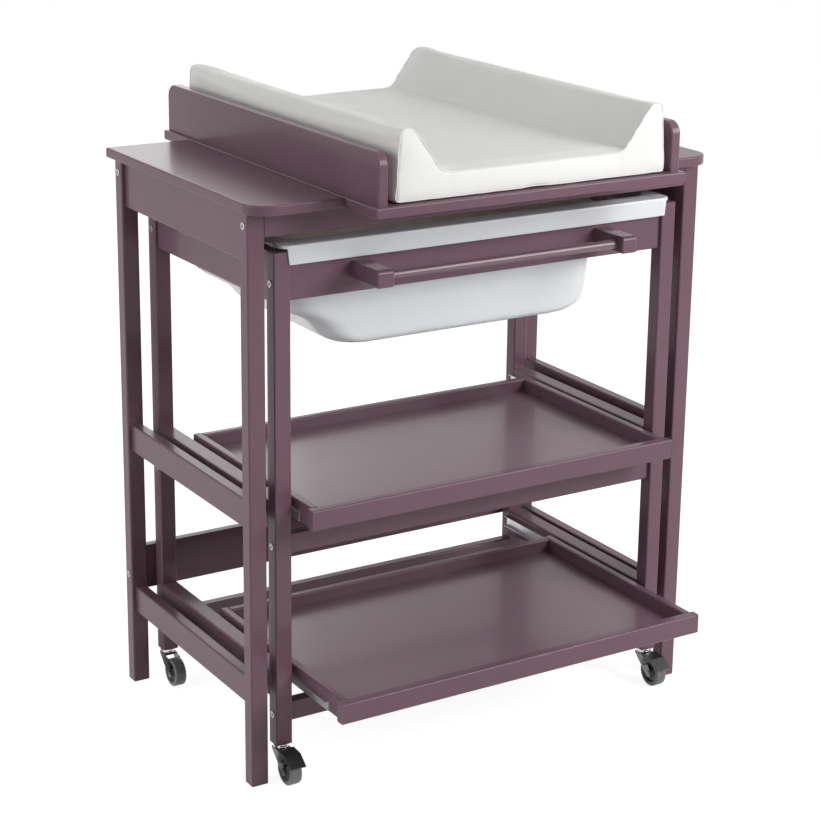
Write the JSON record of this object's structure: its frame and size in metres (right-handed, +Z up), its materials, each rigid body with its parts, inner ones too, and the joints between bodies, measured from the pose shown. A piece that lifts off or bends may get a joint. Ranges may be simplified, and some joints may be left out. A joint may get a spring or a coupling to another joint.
{
  "type": "changing table with bathtub",
  "caption": "Wooden changing table with a padded mat over a roll-out trolley that holds a bathtub and pull-out shelves on casters.",
  "frame": {"origin": "on the floor, midway between the left and right ends of the top boards and midway between the bottom shelf's front and the tray's back edge", "axes": "+X to the right seen from the front, +Y to the back, +Z up; the trolley rolls out along -Y"},
  "size_m": [0.872, 0.769, 1.0848],
  "materials": {
    "plum_wood": "satin stain",
    "mat_vinyl": "soft coated vinyl",
    "tub_plastic": "semi-gloss",
    "plug_grey": "gloss",
    "zinc_bolt": "zinc plated",
    "runner_steel": "satin",
    "collar_chrome": "polished",
    "fork_metal": "satin",
    "wheel_grey": "matt",
    "pedal_black": "matt"
  },
  "bodies": {
    "table": {"table_leg_front_left": "plum_wood", "table_leg_front_right": "plum_wood", "table_leg_back_left": "plum_wood", "table_leg_back_right": "plum_wood", "table_top": "plum_wood", "table_apron_left": "plum_wood", "table_apron_right": "plum_wood", "table_middle_rail_left": "plum_wood", "table_middle_rail_right": "plum_wood", "table_low_rail_left": "plum_wood", "table_low_rail_right": "plum_wood", "table_front_rail": "plum_wood", "table_back_rail": "plum_wood", "table_back_low_rail": "plum_wood", "tray_base": "plum_wood", "tray_side_left": "plum_wood", "tray_side_right": "plum_wood", "table_bolts": "zinc_bolt"},
    "changing_mat": {"changing_mat": "mat_vinyl"},
    "trolley": {"trolley_leg_front_left": "plum_wood", "trolley_leg_front_right": "plum_wood", "trolley_leg_back_left": "plum_wood", "trolley_leg_back_right": "plum_wood", "trolley_apron_left": "plum_wood", "trolley_apron_right": "plum_wood", "trolley_middle_rail_left": "plum_wood", "trolley_middle_rail_right": "plum_wood", "trolley_low_rail_left": "plum_wood", "trolley_low_rail_right": "plum_wood", "trolley_front_apron": "plum_wood", "trolley_back_apron": "plum_wood", "trolley_front_middle_rail": "plum_wood", "trolley_front_low_rail": "plum_wood", "trolley_back_middle_rail": "plum_wood", "trolley_back_low_rail": "plum_wood", "handle_blocks": "plum_wood", "handle_rod": "plum_wood", "trolley_bolts": "zinc_bolt", "runner_channels": "runner_steel", "caster_stems": "collar_chrome"},
    "bathtub": {"bathtub": "tub_plastic"},
    "bath_plug": {"bath_plug": "plug_grey"},
    "middle_shelf": {"middle_shelf_panel": "plum_wood", "middle_shelf_rims": "plum_wood", "middle_shelf_fascia": "plum_wood", "middle_shelf_slides": "runner_steel"},
    "bottom_shelf": {"bottom_shelf_panel": "plum_wood", "bottom_shelf_rims": "plum_wood", "bottom_shelf_fascia": "plum_wood", "bottom_shelf_slides": "runner_steel"},
    "caster_front_left": {"caster_fork_front_left": "fork_metal"},
    "wheel_front_left": {"caster_wheel_front_left": "wheel_grey"},
    "caster_front_right": {"caster_fork_front_right": "fork_metal"},
    "wheel_front_right": {"caster_wheel_front_right": "wheel_grey"},
    "caster_back_left": {"caster_fork_back_left": "fork_metal"},
    "wheel_back_left": {"caster_wheel_back_left": "wheel_grey"},
    "caster_back_right": {"caster_fork_back_right": "fork_metal"},
    "wheel_back_right": {"caster_wheel_back_right": "wheel_grey"},
    "pedal_front_left": {"brake_pedal_front_left": "pedal_black"},
    "pedal_front_right": {"brake_pedal_front_right": "pedal_black"}
  },
  "joints": [
    {"name": "trolley_slide", "type": "slide", "parent": "table", "child": "trolley", "axis": [0, -1, 0], "range_m": [0, 0.6]},
    {"name": "mat_lift", "type": "slide", "parent": "table", "child": "changing_mat", "axis": [0, 0, 1], "range_m": [0, 0.25]},
    {"name": "bathtub_lift", "type": "slide", "parent": "trolley", "child": "bathtub", "axis": [0, 0, 1], "range_m": [0, 0.012]},
    {"name": "bath_plug_lift", "type": "slide", "parent": "bathtub", "child": "bath_plug", "axis": [0, 0, 1], "range_m": [0, 0.02]},
    {"name": "middle_shelf_slide", "type": "slide", "parent": "trolley", "child": "middle_shelf", "axis": [0, -1, 0], "range_m": [-0.061, 0.25]},
    {"name": "bottom_shelf_slide", "type": "slide", "parent": "trolley", "child": "bottom_shelf", "axis": [0, -1, 0], "range_m": [-0.156, 0.155]},
    {"name": "caster_front_left_swivel", "type": "hinge", "parent": "trolley", "child": "caster_front_left", "pos_m": [-0.372, -0.215, 0.054], "axis": [0, 0, 1], "range_deg": [-35, 195]},
    {"name": "wheel_front_left_spin", "type": "hinge", "parent": "caster_front_left", "child": "wheel_front_left", "pos_m": [-0.372, -0.245, 0.025], "axis": [1, 0, 0], "continuous": true},
    {"name": "caster_front_right_swivel", "type": "hinge", "parent": "trolley", "child": "caster_front_right", "pos_m": [0.372, -0.215, 0.054], "axis": [0, 0, 1], "range_deg": [-195, 35]},
    {"name": "wheel_front_right_spin", "type": "hinge", "parent": "caster_front_right", "child": "wheel_front_right", "pos_m": [0.372, -0.245, 0.025], "axis": [1, 0, 0], "continuous": true},
    {"name": "caster_back_left_swivel", "type": "hinge", "parent": "trolley", "child": "caster_back_left", "pos_m": [-0.372, 0.214, 0.054], "axis": [0, 0, 1], "range_deg": [-35, 195]},
    {"name": "wheel_back_left_spin", "type": "hinge", "parent": "caster_back_left", "child": "wheel_back_left", "pos_m": [-0.372, 0.184, 0.025], "axis": [1, 0, 0], "continuous": true},
    {"name": "caster_back_right_swivel", "type": "hinge", "parent": "trolley", "child": "caster_back_right", "pos_m": [0.372, 0.214, 0.054], "axis": [0, 0, 1], "range_deg": [-195, 35]},
    {"name": "wheel_back_right_spin", "type": "hinge", "parent": "caster_back_right", "child": "wheel_back_right", "pos_m": [0.372, 0.184, 0.025], "axis": [1, 0, 0], "continuous": true},
    {"name": "pedal_front_left_press", "type": "hinge", "parent": "caster_front_left", "child": "pedal_front_left", "pos_m": [-0.372, -0.235, 0.042], "axis": [1, 0, 0], "range_deg": [0, 6]},
    {"name": "pedal_front_right_press", "type": "hinge", "parent": "caster_front_right", "child": "pedal_front_right", "pos_m": [0.372, -0.235, 0.042], "axis": [1, 0, 0], "range_deg": [0, 6]}
  ]
}
